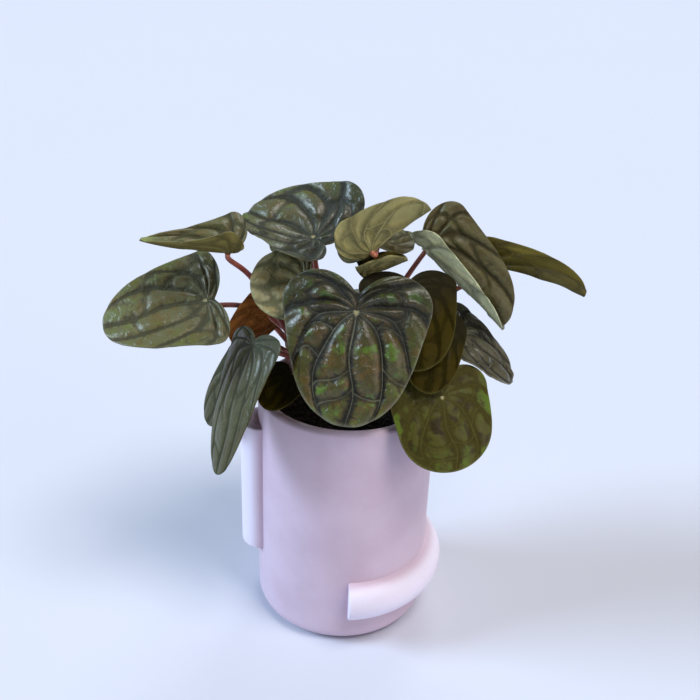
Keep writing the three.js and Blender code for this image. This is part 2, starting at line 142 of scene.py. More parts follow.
# Every leaf, as in the solids: where its stalk meets it, its tip, the way its upper side
# looks, its width, how far its left and right halves rise, how far the midrib bends down,
# its lobes, its taper, how deep its relief and how fine its mesh is, its look, and a point
# its stalk passes, if there is one
LEAF_FIELDS = ("name", "at", "tip", "face", "width", "cup", "arch", "lobe", "taper", "relief",
               "fine", "look", "via")
LEAVES = [dict(zip(LEAF_FIELDS, row)) for row in (
    ("leaf_front", (2.6, -30, 176), (-0.5, -50, 131), (0, -1, 0.5), 65, (-5, -14), 14, 0.73, 0.1, 1.5,
     1.5, "front"),
    ("leaf_front_low", (42, -30, 136), (49.5, -45, 107), (0.4, -1, 0.6), 49, (-10, -10), 12, 0.8, -0.2,
     0.28, 1.1, "mottled"),
    ("leaf_right_upper", (26, -14, 181), (30, -35, 151), (0.3, -0.9, 0.5), 46, (-10, -16), 20, 0.5, 0,
     0.3, 1.0, "shade", (20, 5, 158)),
    ("leaf_right_inner", (38, -15, 162), (34, -36, 141), (0.3, -0.7, 0.7), 32, (-10, -10), 16, 0.8, 0,
     0.35, 0.8, "shade"),
    ("leaf_right_small", (52, 2, 151), (78, 1, 129), (0.6, -0.2, 0.8), 40, (10, 5), 12, 0.7, 0.15, 1.3,
     1.0, "striped"),
    ("leaf_right_trough", (35.5, 22, 185.6), (74, 18, 149.2), (0.05, -0.9, 0.4), 50, (2, 150), 14, 0.45,
     0, 1.2, 1.15, "mauve"),
    ("leaf_right_far", (67, 36, 172.7), (113, 30, 160.6), (0.1, 0.15, 1), 38, (42, 85), 16, 0.6, -0.1,
     1.3, 0.9, "olive", (36, 18, 156)),
    ("leaf_top_right", (8, -9, 195), (33, -2, 213), (-0.45, 0.75, 0.45), 48, (110, 20), 10, 0.75, 0.1,
     1.8, 1.15, "folded", (8, 14, 190)),
    ("leaf_top_inner", (5.6, -9.8, 183), (24, -9.8, 192.3), (-0.35, 0.75, 0.55), 22, (140, 5), 8, 0.08,
     0, 1.2, 0.8, "folded"),
    ("leaf_top", (-18, 12, 192.5), (-49.5, 30, 197), (0, -0.25, 1), 64, (30, 48), 8, 0.8, 0.3, 1.2,
     1.25, "dusky", (-14, 11, 162)),
    ("leaf_left_trough", (-54, -10, 193), (-91.5, -12, 197.5), (0, -0.1, 1), 42, (75, 44), -12, 0.45,
     0.7, 1.2, 1.0, "grey", (-45, 3, 175)),
    ("leaf_left_far", (-64, -10, 169.3), (-109, -18, 158), (-0.2, -0.5, 0.85), 54, (8, 10), 14, 0.36,
     0.12, 0.9, 1.15, "silver", (-44, 24, 148)),
    ("leaf_left_shade", (-21, -4, 177), (-45, -6, 175.5), (-0.1, -0.7, 0.7), 40, (0, -10), 14, 0.35, 0,
     0.9, 0.9, "gleaming"),
    ("leaf_left_red", (-38, 11.6, 153.7), (-54, 10.6, 136.2), (-0.4, 0.9, 0.3), 30, (20, 20), 10, 0.8,
     0, 1.1, 0.8, "red"),
    ("leaf_left_hanging", (-42, -26, 156), (-56, -50, 104), (-0.9, -0.55, 0.3), 42, (-5, -5), 14, 0.25,
     0.2, 0.4, 1.0, "smooth"),
    ("leaf_left_behind", (-50, -7, 134), (-66, -11, 106), (-0.8, -0.5, 0.4), 32, (0, 0), 12, 0.45, 0,
     0.35, 0.8, "smooth"),
    ("leaf_left_low", (-27, -19, 136), (-37, -29, 126), (-0.3, -0.6, 0.6), 22, (5, 5), 8, 0.7, 0, 0.4,
     0.6, "shade"),
    ("leaf_back_right_low", (46, 16, 135), (64, 24, 106), (0.8, 0.3, 0.5), 38, (-10, -10), 14, 0.8, 0,
     0.8, 0.75, "olive"),
    ("leaf_back_right", (25, 43, 146), (37, 69, 128), (0.4, 0.5, 0.8), 36, (5, 5), 16, 0.8, 0, 1.1, 0.9,
     "front"),
    ("leaf_right_back", (48, 34, 148), (68, 42, 130), (0.5, 0.3, 0.8), 34, (5, 5), 14, 0.8, 0, 0.9,
     0.75, "silver", (20, 16, 146)),
    ("leaf_back_low", (22, 47, 130), (31, 64, 100), (0.3, 0.9, 0.5), 36, (-10, -10), 14, 0.6, 0, 0.8,
     0.75, "grey"),
    ("leaf_back", (-14, 40, 152), (-16, 74, 135), (0, 0.4, 0.9), 44, (5, 8), 16, 0.8, 0, 1.2, 0.9,
     "silver"),
    ("leaf_back_left_low", (-16, 46, 133), (-23, 64, 103), (-0.3, 0.9, 0.5), 36, (-8, -8), 14, 0.8, 0,
     0.8, 0.75, "olive"),
    ("leaf_back_left", (-46, 36, 131), (-62, 44, 103), (-0.8, 0.5, 0.5), 36, (-5, -5), 14, 0.8, 0, 0.7,
     0.75, "grey"),
    ("leaf_back_upper_left", (-23, 38, 180), (-33, 64, 180), (-0.3, 0.4, 0.9), 36, (5, 5), 14, 0.6, 0,
     1.1, 0.8, "silver"),
    ("leaf_back_upper_right", (12, 36, 182), (20, 62, 180), (0.2, 0.4, 0.9), 36, (8, 5), 14, 0.6, 0,
     1.1, 0.8, "mauve"),
)]


def linear(red, green, blue):
    """A screen colour from 0 to 255 as linear light."""
    parts = (red / 255, green / 255, blue / 255)
    return tuple(p / 12.92 if p <= 0.04045 else ((p + 0.055) / 1.055) ** 2.4 for p in parts)


# How each kind of leaf is coloured: its furrows, darker as painted shade, swells, brown blotches,
# green blotches, veins, underside and base, a darker tone towards the stalk as painted shade, then
# how far the brown, green and vein tones show, how green its edge is, how far the base's painted
# shade shows, how pale its tip and the spot at its stalk are, its gloss, the roughness of its swells
# and how wrinkled it is
LOOK_FIELDS = ("furrow", "swell", "brown", "green", "vein", "under", "base", "browned", "greened",
               "veined", "rimmed", "based", "tipped", "starred", "gloss", "roughness", "wrinkled")
LOOKS = {name: dict(zip(LOOK_FIELDS, row)) for name, *row in (
    ("front", (25, 25, 17), (70, 64, 30), (92, 70, 30), (84, 118, 34), (164, 164, 138), (112, 110, 62),
     (34, 35, 29), 0.7, 0.9, 0.6, 0.3, 0.6, 0.0, 0.7, 1.2, 0.28, 1.5),
    ("silver", (60, 58, 38), (98, 96, 66), (98, 80, 44), (94, 116, 44), (126, 122, 92), (116, 108, 58),
     (70, 74, 62), 0.6, 0.35, 0.35, 0.4, 0.25, 0.0, 0.8, 1.0, 0.3, 1.2),
    ("dusky", (40, 41, 30), (86, 86, 60), (94, 78, 44), (88, 110, 40), (118, 116, 90), (116, 108, 58),
     (46, 51, 46), 0.6, 0.35, 0.3, 0.6, 0.7, 0.0, 0.8, 1.3, 0.28, 1.2),
    ("grey", (62, 60, 36), (100, 98, 64), (102, 84, 44), (92, 104, 48), (112, 112, 84), (140, 128, 68),
     (70, 72, 58), 0.5, 0.2, 0.3, 0.0, 0.3, 0.9, 0.3, 0.9, 0.3, 0.7),
    ("smooth", (56, 56, 36), (78, 78, 50), (72, 66, 38), (78, 86, 44), (86, 88, 62), (104, 100, 58),
     (56, 64, 56), 0.6, 0.15, 0.22, 0.0, 0.5, 0.0, 0.0, 0.7, 0.28, 0.5),
    ("olive", (26, 22, 7), (74, 66, 24), (70, 50, 16), (80, 104, 34), (112, 108, 60), (118, 106, 42),
     (44, 44, 32), 0.5, 0.3, 0.45, 0.1, 0.5, 0.0, 0.3, 0.8, 0.34, 0.7),
    ("folded", (30, 26, 10), (84, 76, 34), (76, 58, 22), (80, 104, 34), (112, 108, 60), (176, 168, 110),
     (44, 44, 32), 0.5, 0.2, 0.4, 0.1, 0.3, 0.0, 0.0, 0.8, 0.34, 0.8),
    # A paler copy of the silver look: painted light and sheen for a leaf in the shadow of the leaf above
    ("gleaming", (116, 114, 82), (178, 172, 130), (160, 140, 88), (98, 116, 48), (126, 122, 92),
     (116, 108, 58), (70, 74, 62), 0.7, 0.2, 0.2, 0.1, 0.2, 0.0, 0.0, 1.0, 0.3, 1.2),
    ("mottled", (62, 57, 16), (78, 75, 28), (44, 31, 16), (88, 114, 26), (140, 140, 84), (96, 92, 44),
     (70, 66, 34), 0.9, 0.25, 0.34, 0.9, 0.2, 0.0, 1.0, 0.45, 0.36, 0.6),
    ("mauve", (58, 54, 33), (92, 88, 56), (86, 74, 42), (96, 98, 50), (112, 104, 72), (238, 245, 196),
     (84, 74, 46), 0.6, 0.2, 0.16, 0.0, 0.3, 0.0, 0.0, 0.6, 0.36, 0.9),
    # Painted shade: dark tones for leaves that lie in the shade of the leaves above
    ("shade", (34, 29, 4), (56, 47, 6), (48, 38, 8), (54, 58, 14), (110, 106, 56), (78, 72, 24),
     (36, 34, 22), 0.6, 0.2, 0.09, 0.0, 0.9, 0.0, 0.0, 0.1, 0.44, 0.35),
    ("red", (30, 15, 6), (72, 44, 16), (52, 24, 10), (84, 70, 24), (116, 50, 28), (180, 112, 50),
     (60, 34, 16), 0.5, 0.3, 0.6, 0.0, 0.3, 0.0, 0.0, 0.3, 0.44, 0.7),
    ("striped", (34, 32, 21), (82, 80, 60), (70, 60, 36), (82, 92, 56), (164, 164, 144), (104, 98, 50),
     (60, 62, 50), 0.4, 0.1, 0.85, 0.0, 0.2, 0.0, 0.4, 1.1, 0.28, 0.6),
)}

# What every kind of leaf shares: the colours of tip and star, the roughness of furrows and
# undersides, the share of gloss in each layer of shine, and the height of the wrinkles
TIP_GREEN = linear(132, 142, 82)
STAR_PALE = linear(170, 162, 118)
DULL = 0.62
LEAF_SPECULAR = 0.2
LEAF_COAT = 0.4
COAT_ROUGHNESS = 0.34
WRINKLE_HEIGHT = 0.9

# Colours of everything else, and how far out of the wall the bars' painted highlight starts and is full
POT_LILAC = linear(216, 195, 213)
POT_SHADE = linear(207, 184, 202)
POT_BAR_HIGHLIGHT = linear(238, 230, 248)
POT_SPECK = linear(168, 150, 172)
BAR_HIGHLIGHT_START = 1.2
BAR_HIGHLIGHT_FULL = 6
SOIL_DARK = linear(22, 17, 13)
SOIL_LIGHT = linear(66, 50, 36)
STALK_RED = linear(150, 70, 58)
STALK_PALE = linear(202, 126, 96)
STALK_STREAK = linear(112, 48, 40)
CROWN_BROWN = linear(70, 42, 28)
FLOOR_PALE = linear(208, 211, 224)
BACKDROP = linear(225, 236, 255)
SKY_BLUE = (0.9, 0.95, 1.0)
FLOOR_SPAN = 30000

# Wide soft lights: name, the side that they shine from, strength, width in degrees and colour
SUNS = (
    ("window left", (-1.0, -0.08, 0.6), 2.9, 24, (0.63, 0.81, 1.0)),
    ("panel above", (0.36, -0.3, 1.0), 1.85, 26, (1.0, 0.965, 0.93)),
    ("sky behind", (0.2, 0.7, 0.8), 0.8, 26, (0.86, 0.93, 1.0)),
    ("fill right", (0.9, -0.5, 0.35), 0.7, 40, (1.0, 0.89, 0.84)),
)


def metres(name, description, default, low, high):
    """A length in metres."""
    return FloatProperty(
        name=name, description=description, default=default, min=low, max=high, unit="LENGTH")


def tint(name, description, default):
    """A colour in linear light."""
    return FloatVectorProperty(
        name=name, description=description, default=default, min=0, max=1, subtype="COLOR")


def whole(name, description, default, low, high):
    """A whole number."""
    return IntProperty(name=name, description=description, default=default, min=low, max=high)


class PotSettings(bpy.types.PropertyGroup):
    """Sizes and colours of the pot."""

    radius: metres("Radius", "Outer radius of the wall", 0.0425, 0.02, 0.1)
    height: metres("Height", "Height of the rim above the base", 0.1225, 0.05, 0.3)
    wall: metres("Wall", "Thickness of the wall", 0.005, 0.002, 0.01)
    bar_width: metres("Bar width", "Width of a half-round bar", 0.0214, 0.005, 0.03)
    bar_proud: metres("Bar height", "How far a bar stands out of the wall", 0.0085, 0.002, 0.015)
    segments: whole("Segments", "Faces round the wall", 160, 24, 256)
    lilac: tint("Glaze", "Main colour of the glaze", POT_LILAC)
    shade: tint("Glaze shade", "Darker tone in the glaze", POT_SHADE)
    roughness: FloatProperty(
        name="Roughness", description="Roughness of the glaze", default=0.46,
        min=0, max=1, subtype="FACTOR")


class SoilSettings(bpy.types.PropertyGroup):
    """Sizes and colours of the soil."""

    crumb: metres("Crumb size", "Radius of the largest crumb", 0.0013, 0.0003, 0.003)
    density: FloatProperty(
        name="Crumb density", description="Crumbs on a square metre", default=420000,
        min=1000, max=1000000)
    seed: whole("Seed", "Draw of the crumbs' places", 7, 0, 1000)
    dark: tint("Dark soil", "Main colour of the soil", SOIL_DARK)
    light: tint("Pale crumbs", "Colour of the palest crumbs", SOIL_LIGHT)


class StalkSettings(bpy.types.PropertyGroup):
    """Sizes and colours of the stalks."""

    radius: metres("Radius", "Radius of a stalk at its root", 0.0013, 0.0004, 0.003)
    sides: whole("Sides", "Faces round a stalk", 14, 5, 32)
    red: tint("Stalk", "Main colour of the stalks", STALK_RED)
    pale: tint("Pale stalk", "Colour of the stalks towards the blades", STALK_PALE)


class LeafSettings(bpy.types.PropertyGroup):
    """Sizes of the leaf blades."""

    pleat: metres("Relief", "Height of the swells between the veins", 0.0015, 0, 0.003)
    groove: metres("Groove", "Half-width of the groove along a vein", 0.0028, 0.0005, 0.006)
    line: metres("Vein", "Half-width of the pale line of a vein", 0.00026, 0.0001, 0.002)
    rim: metres("Edge", "Thickness of the blade at its edge", 0.0005, 0.0002, 0.0009)
    columns: whole("Columns", "Faces between two main veins", 16, 6, 32)
    rows: whole("Rows", "Faces from the stalk to the edge", 56, 12, 120)


class StageSettings(bpy.types.PropertyGroup):
    """Floor, light and camera."""

    floor: tint("Floor", "Colour of the floor", FLOOR_PALE)
    lens: FloatProperty(
        name="Lens", description="Focal length of the camera in millimetres", default=50,
        min=20, max=200)
    sky: FloatProperty(
        name="Sky", description="Strength of the light from all round", default=0.15,
        min=0, max=5)


def plug(tree, value, socket):
    """Links a socket, or sets a plain value or colour."""
    if isinstance(value, bpy.types.NodeSocket):
        tree.links.new(value, socket)
    else:
        socket.default_value = (*value, 1.0) if socket.type == "RGBA" else value


def feed(tree, node, values):
    """Links or sets a node's inputs."""
    for label, value in values.items():
        plug(tree, value, node.inputs[label])


def add_node(tree, kind, values, output=0, **fields):
    """Places a node with its fields and inputs, and returns one of its outputs."""
    node = tree.nodes.new(kind)
    for field, value in fields.items():
        setattr(node, field, value)
    feed(tree, node, values)
    return node.outputs[output]


def new_tree(name, **inputs):
    """A geometry tree with the named inputs between a geometry and a material."""
    tree = bpy.data.node_groups.new(name, "GeometryNodeTree")
    for label, kind in {"Geometry": "Geometry", **inputs, "Material": "Material"}.items():
        tree.interface.new_socket(label, in_out="INPUT", socket_type=f"NodeSocket{kind}")
    tree.interface.new_socket("Geometry", in_out="OUTPUT", socket_type="NodeSocketGeometry")
    return tree, tree.nodes.new("NodeGroupInput").outputs


def end_tree(tree, given, geometry):
    """Ends a geometry tree with realized instances, smooth faces and the material."""
    real = add_node(tree, "GeometryNodeRealizeInstances", {"Geometry": geometry})
    smooth = add_node(tree, "GeometryNodeSetShadeSmooth", {"Geometry": real})
    painted = add_node(
        tree, "GeometryNodeSetMaterial", {"Geometry": smooth, "Material": given["Material"]})
    tree.links.new(painted, tree.nodes.new("NodeGroupOutput").inputs[0])
    return tree


def run_tree(piece, tree, values):
    """Runs a geometry tree on a piece and leaves the result as the piece's plain mesh."""
    modifier = piece.modifiers.new(tree.name, "NODES")
    modifier.node_group = tree
    for item in tree.interface.items_tree:
        if item.in_out == "INPUT" and item.name in values:
            modifier[item.identifier] = values[item.name]
    return settle(piece)


def settle(piece):
    """Turns a piece and its live modifiers into a plain mesh."""
    graph = bpy.context.evaluated_depsgraph_get()
    graph.update()
    mesh = bpy.data.meshes.new_from_object(piece.evaluated_get(graph))
    piece.modifiers.clear()
    piece.data = mesh
    mesh.name = piece.name
    return piece


def add_piece(name, points, faces, edges=()):
    """A new object at the origin, from points in millimetres."""
    mesh = bpy.data.meshes.new(name)
    mesh.from_pydata((np.array(points, float) * MM).tolist(), edges, faces)
    mesh.update()
    piece = bpy.data.objects.new(name, mesh)
    bpy.context.scene.collection.objects.link(piece)
    return piece


def add_line(name, points):
    """A row of points joined by edges."""
    return add_piece(name, points, (), [(i, i + 1) for i in range(len(points) - 1)])


def join_pieces(name, pieces):
    """One object from several, under a new name."""
    first = pieces[0]
    with bpy.context.temp_override(
            active_object=first, object=first, selected_objects=pieces,
            selected_editable_objects=pieces):
        bpy.ops.object.join()
    first.name = name
    first.data.name = name
    return first


def mark(piece, name, values):
    """Keeps one value for every point of a piece."""
    layer = piece.data.attributes.new(name, "FLOAT", "POINT")
    layer.data.foreach_set("value", np.array(values, float))


def arc(radius, across, height, start, end, steps):
    """Points on an arc in a profile, from one angle to another in degrees."""
    angles = np.radians(np.linspace(start, end, steps + 1))
    return [(across + radius * math.cos(a), height + radius * math.sin(a)) for a in angles]


def polar(radius, angle, height):
    """A point round the axis, from its angle in radians."""
    return radius * math.cos(angle), radius * math.sin(angle), height


def ring(radius, height, around):
    """Points round the axis at one height."""
    angles = np.linspace(0, 2 * math.pi, around, endpoint=False)
    return np.stack([radius * np.cos(angles), radius * np.sin(angles), np.full(around, height)], 1)


def band(low, high, around, pole=False, flip=False):
    """Faces from a ring of points to another ring, or to a single point, by their numbers."""
    faces = []
    for step in range(around):
        beside = (step + 1) % around
        far = (high,) if pole else (high + step, high + beside)
        face = (low + step, *far, low + beside)
        faces.append(face[:1] + face[:0:-1] if flip else face)
    return faces


def new_group(name, inputs, outputs):
    """A shader node group with the inputs and outputs named, each with its kind."""
    group = bpy.data.node_groups.new(name, "ShaderNodeTree")
    for side, sockets in (("INPUT", inputs), ("OUTPUT", outputs)):
        for label, kind in sockets.items():
            group.interface.new_socket(label, in_out=side, socket_type=f"NodeSocket{kind}")
    return group, group.nodes.new("NodeGroupInput").outputs, group.nodes.new("NodeGroupOutput")


def use_group(tree, name, make, values):
    """Places a node group, made once, with its values, and returns its outputs."""
    node = tree.nodes.new("ShaderNodeGroup")
    node.node_tree = bpy.data.node_groups.get(name) or make(name)
    feed(tree, node, values)
    return node.outputs


def noise(tree, place, scale, detail, roughness=0.5, distortion=0.0):
    """A noise texture's value at a place."""
    return add_node(tree, "ShaderNodeTexNoise", {
        "Vector": place, "Scale": scale, "Detail": detail, "Roughness": roughness,
        "Distortion": distortion}, "Fac")


def spread(tree, value, low, high, to_low=0.0, to_high=1.0):
    """A value from one range to another, eased and held inside it."""
    return add_node(
        tree, "ShaderNodeMapRange", {0: value, 1: low, 2: high, 3: to_low, 4: to_high},
        interpolation_type="SMOOTHSTEP")


def blend(tree, factor, first, second):
    """A mix of two colours, each a socket or a plain colour."""
    return add_node(tree, "ShaderNodeMix", {0: factor, 6: first, 7: second}, 2, data_type="RGBA")


def reckon(tree, operation, first, second=0.0):
    """A sum, product or other plain reckoning of two values, sums and products held in 0 to 1."""
    held = operation in ("MULTIPLY", "ADD", "SUBTRACT")
    return add_node(
        tree, "ShaderNodeMath", {0: first, 1: second}, operation=operation, use_clamp=held)


def product(tree, first, second):
    """The product of two values."""
    return reckon(tree, "MULTIPLY", first, second)


def attribute(tree, name):
    """The value of a named attribute of the mesh."""
    return add_node(tree, "ShaderNodeAttribute", {}, "Fac", attribute_name=name)


def place_of(tree):
    """Object coordinates."""
    return add_node(tree, "ShaderNodeTexCoord", {}, "Object")


def bump(tree, height, distance, strength=1.0):
    """A normal with a fine relief."""
    return add_node(
        tree, "ShaderNodeBump", {"Distance": distance, "Strength": strength, "Height": height})


def toned(colour, share):
    """A colour made darker or paler by a share."""
    return tuple(min(1.0, part * share) for part in colour)


def new_material(name):
    """A material with its tree and its Principled BSDF."""
    material = bpy.data.materials.new(name)
    material.use_nodes = True
    return material, material.node_tree, material.node_tree.nodes["Principled BSDF"]


def grain_group(name):
    """Fine grain and slow mottling that the pot, the soil and the stalks share."""
    group, given, result = new_group(
        name, {"Place": "Vector", "Grain scale": "Float", "Mottle scale": "Float"},
        {"Grain": "Float", "Mottle": "Float"})
    for label, detail in (("Grain", 2.0), ("Mottle", 4.0)):
        value = noise(group, given["Place"], given[f"{label} scale"], detail)
        plug(group, value, result.inputs[label])
    return group


def grained_material(name, grain_scale, mottle_scale):
    """A material with object coordinates, grain and mottling ready to use."""
    material, tree, shader = new_material(name)
    place = place_of(tree)
    parts = use_group(tree, "Grain and mottling", grain_group, {
        "Place": place, "Grain scale": grain_scale, "Mottle scale": mottle_scale})
    return material, tree, shader, place, parts["Grain"], parts["Mottle"]


def pot_material(settings):
    """Matt lilac glaze with slow mottling, tiny specks, a fine grain and a painted highlight on the bars.
    """
    material, tree, shader, place, grain, mottle = grained_material("matt lilac glaze", 1400.0, 34.0)
    tone = blend(tree, spread(tree, mottle, 0.35, 0.7), settings.lilac, settings.shade)
    # Painted highlight: the bars stand out of the wall and are made paler where light falls on them
    level = add_node(
        tree, "ShaderNodeVectorMath", {0: place, 1: (1.0, 1.0, 0.0)}, operation="MULTIPLY")
    from_axis = add_node(tree, "ShaderNodeVectorMath", {0: level}, "Value", operation="LENGTH")
    start, full = (settings.radius + out * MM for out in (BAR_HIGHLIGHT_START, BAR_HIGHLIGHT_FULL))
    tone = blend(tree, spread(tree, from_axis, start, full), tone, POT_BAR_HIGHLIGHT)
    speck = spread(tree, noise(tree, place, 2600, 1.0), 0.66, 0.74, 0.0, 0.35)
    low, high = settings.roughness - 0.05, settings.roughness + 0.05
    feed(tree, shader, {
        "Base Color": blend(tree, speck, tone, POT_SPECK),
        "Roughness": spread(tree, mottle, 0.3, 0.7, low, high),
        "Normal": bump(tree, grain, 0.06 * MM, strength=0.6)})
    return material


def soil_material(settings):
    """Dark crumbly soil: the crumbs carry their own tone."""
    material, tree, shader, _, grain, mottle = grained_material("dark soil", 1500.0, 260.0)
    mottled = spread(tree, mottle, 0.45, 0.75, 0.0, 0.5)
    tone = blend(tree, mottled, settings.dark, settings.light)
    pale = spread(tree, attribute(tree, "tone"), 0.72, 1.0)
    feed(tree, shader, {
        "Base Color": blend(tree, pale, tone, settings.light),
        "Roughness": spread(tree, grain, 0.3, 0.7, 0.8, 1.0),
        "Normal": bump(tree, grain, 0.4 * MM, strength=0.8)})
    return material


def stalk_material(settings):
    """Smooth red stalks, streaked and paler towards the blade, and a brown crown."""
    material, tree, shader, _, grain, mottle = grained_material("red stalk", 900.0, 150.0)
    ahead = spread(tree, attribute(tree, "along"), 0.4, 0.85, 0.0, 0.9)
    tone = blend(tree, ahead, settings.red, settings.pale)
    tone = blend(tree, spread(tree, mottle, 0.4, 0.7, 0.0, 0.45), tone, STALK_STREAK)
    feed(tree, shader, {
        "Base Color": blend(tree, attribute(tree, "crown"), tone, CROWN_BROWN),
        "Roughness": spread(tree, grain, 0.3, 0.7, 0.36, 0.5),
        "Coat Weight": 0.2,
        "Coat Roughness": 0.35,
        "Normal": bump(tree, grain, 0.08 * MM, strength=0.6)})
    return material


def floor_material(settings):
    """Plain pale floor with the faintest cloudiness."""
    material, tree, shader = new_material("pale floor")
    cloud = spread(tree, noise(tree, place_of(tree), 1.4, 2.0), 0.2, 0.8)
    feed(tree, shader, {
        "Base Color": blend(tree, cloud, settings.floor, toned(settings.floor, 0.99)),
        "Roughness": 0.9,
        "Specular IOR Level": 0.1})
    return material


def blotch_group(name):
    """Blotches, a fine net of veins, clouds, wrinkles and grain over a blade, from its flat map."""
    outputs = ("Brown", "Green", "Net", "Grain", "Cloud", "Wrinkle")
    group, given, result = new_group(name, {"Map": "Vector"}, dict.fromkeys(outputs, "Float"))
    flat = given["Map"]
    shifted = add_node(group, "ShaderNodeVectorMath", {0: flat, 1: (31.7, 12.9, 0.0)})
    net = add_node(
        group, "ShaderNodeTexVoronoi", {"Vector": flat, "Scale": 3.6}, "Distance",
        feature="DISTANCE_TO_EDGE")
    feed(group, result, {
        "Brown": spread(group, noise(group, flat, 1.5, 3.0, 0.55, 0.4), 0.45, 0.62),
        "Green": spread(group, noise(group, shifted, 1.35, 2.0, 0.45, 0.2), 0.53, 0.7),
        "Net": spread(group, net, 0.0, 0.09, 1.0, 0.0),
        "Grain": noise(group, flat, 22, 2.0),
        "Cloud": noise(group, shifted, 0.7, 2.0),
        "Wrinkle": noise(group, flat, 2.6, 2.0, 0.45, 0.9)})
    return group


def tissue_group(name):
    """The upper side's colour: swells, blotches, veins and edge, with painted shade in the furrows."""
    colours = [f"{label} colour" for label in ("Furrow", "Swell", "Brown", "Green", "Vein")]
    masks = ("Height", "Browned", "Greened", "Net", "Veined", "Edge")
    group, given, result = new_group(
        name, {**dict.fromkeys(colours, "Color"), **dict.fromkeys(masks, "Float")},
        {"Colour": "Color"})
    tone = blend(group, given["Browned"], given["Swell colour"], given["Brown colour"])
    # Painted shade: the furrow colour fills the low ground between the swells and the wrinkles
    high = spread(group, given["Height"], 0.04, 0.6)
    tone = blend(group, high, given["Furrow colour"], tone)
    greened = product(group, given["Greened"], spread(group, given["Height"], 0.3, 0.7))
    tone = blend(group, greened, tone, given["Green colour"])
    for label in ("Net", "Veined", "Edge"):
        tone = blend(group, given[label], tone, given["Vein colour"])
    plug(group, tone, result.inputs["Colour"])
    return group


def leaf_material(name, look):
    """Softly glossy blade with painted shade in its furrows, and its underside in a paler tone."""
    material, tree, shader = new_material(name)
    tones = {key: linear(*value) for key, value in look.items() if isinstance(value, tuple)}
    flat = add_node(tree, "ShaderNodeUVMap", {}, "UV", uv_map="blade")
    blotches = use_group(tree, "Leaf blotches", blotch_group, {"Map": flat})
    cloud, grain, net, wrinkle = (blotches[key] for key in ("Cloud", "Grain", "Net", "Wrinkle"))
    under, main, edge, swell, outward, ahead, crossing = (
        attribute(tree, key)
        for key in ("under", "vein", "edge", "swell", "outward", "ahead", "crossing"))

    crossing = spread(tree, reckon(tree, "ABSOLUTE", crossing), 0.08, 0.42, 0.42, 0.0)
    vein = reckon(tree, "MAXIMUM", main, crossing)
    rimmed = product(tree, spread(tree, outward, 0.55, 0.98), look["rimmed"])
    rimmed = product(tree, rimmed, spread(tree, cloud, 0.35, 0.6))
    greened = reckon(tree, "MAXIMUM", product(tree, blotches["Green"], look["greened"]), rimmed)
    veined = spread(tree, cloud, 0.3, 0.6, look["veined"], look["veined"] * 0.45)
    # Painted shade: the furrow colour follows the swells' height and the wrinkles
    tissue = use_group(tree, "Leaf tissue", tissue_group, {
        **{f"{key.capitalize()} colour": tones[key] for key in LOOK_FIELDS[:5]},
        "Height": product(tree, swell, spread(tree, wrinkle, 0.25, 0.6, 0.4, 1.2)),
        "Browned": product(tree, blotches["Brown"], look["browned"]),
        "Greened": greened,
        "Net": product(tree, net, 0.03),
        "Veined": product(tree, vein, veined),
        "Edge": product(tree, edge, 0.4)})
    above = tissue["Colour"]
    # Painted shade darkens the blade with its base colour towards the stalk; the tip's green and the pale
    # star are its own tones
    for mask, key, tone in (
            (spread(tree, ahead, 0.5, -0.2), "based", tones["base"]),
            (spread(tree, ahead, 0.78, 0.96), "tipped", TIP_GREEN),
            (spread(tree, outward, 0.05, 0.015), "starred", STAR_PALE)):
        above = blend(tree, product(tree, mask, look[key]), above, tone)

    pale = tones["under"]
    below = blend(tree, spread(tree, cloud, 0.35, 0.7), toned(pale, 0.8), pale)
    # On the underside, painted shade darkens the blade where the swells are low, beside the raised veins;
    # the darker net and paler veins are its own tones
    for mask, share in (
            (spread(tree, swell, 0.15, 0.95, 0.85, 0.0), 0.3),
            (product(tree, net, 0.25), 0.8),
            (product(tree, vein, 0.5), 1.5)):
        below = blend(tree, mask, below, toned(pale, share))

    upper = reckon(tree, "SUBTRACT", 1.0, under)
    sheen = product(tree, upper, spread(tree, swell, 0.1, 0.75))
    rough = spread(tree, sheen, 0.0, 1.0, DULL, look["roughness"])
    grained = spread(tree, grain, 0.3, 0.7, -0.05, 0.05)
    fine = reckon(tree, "SUBTRACT", grain, product(tree, net, 0.5))
    height = reckon(tree, "ADD", wrinkle, product(tree, fine, 0.02))
    feed(tree, shader, {
        "Base Color": blend(tree, under, above, below),
        "Roughness": reckon(tree, "ADD", rough, grained),
        "Specular IOR Level": LEAF_SPECULAR * look["gloss"],
        "Coat Weight": product(tree, sheen, LEAF_COAT * look["gloss"]),
        "Coat Roughness": COAT_ROUGHNESS,
        "Normal": bump(tree, height, WRINKLE_HEIGHT * MM * look["wrinkled"])})
    return material


def turned_tree():
    """Turns a profile round the vertical axis."""
    tree, given = new_tree("Turned wall", Radius="Float", Segments="Int")
    profile = add_node(tree, "GeometryNodeMeshToCurve", {"Mesh": given["Geometry"]})
    circle = add_node(tree, "GeometryNodeCurvePrimitiveCircle", {
        "Resolution": given["Segments"], "Radius": given["Radius"]})
    sweep = add_node(tree, "GeometryNodeCurveToMesh", {"Curve": circle, "Profile Curve": profile})
    weld = add_node(
        tree, "GeometryNodeMergeByDistance", {"Geometry": sweep, "Distance": WELD_DISTANCE * MM})
    return end_tree(tree, given, weld)


def bar_tree():
    """Sweeps a closed section along a path and closes its ends."""
    tree, given = new_tree("Bar along a path", Section="Object")
    path = add_node(tree, "GeometryNodeMeshToCurve", {"Mesh": given["Geometry"]})
    upright = add_node(tree, "GeometryNodeSetCurveNormal", {"Curve": path}, mode="Z_UP")
    source = add_node(tree, "GeometryNodeObjectInfo", {"Object": given["Section"]}, "Geometry")
    section = add_node(tree, "GeometryNodeMeshToCurve", {"Mesh": source})
    sweep = add_node(tree, "GeometryNodeCurveToMesh", {
        "Curve": upright, "Profile Curve": section, "Fill Caps": True})
    return end_tree(tree, given, sweep)


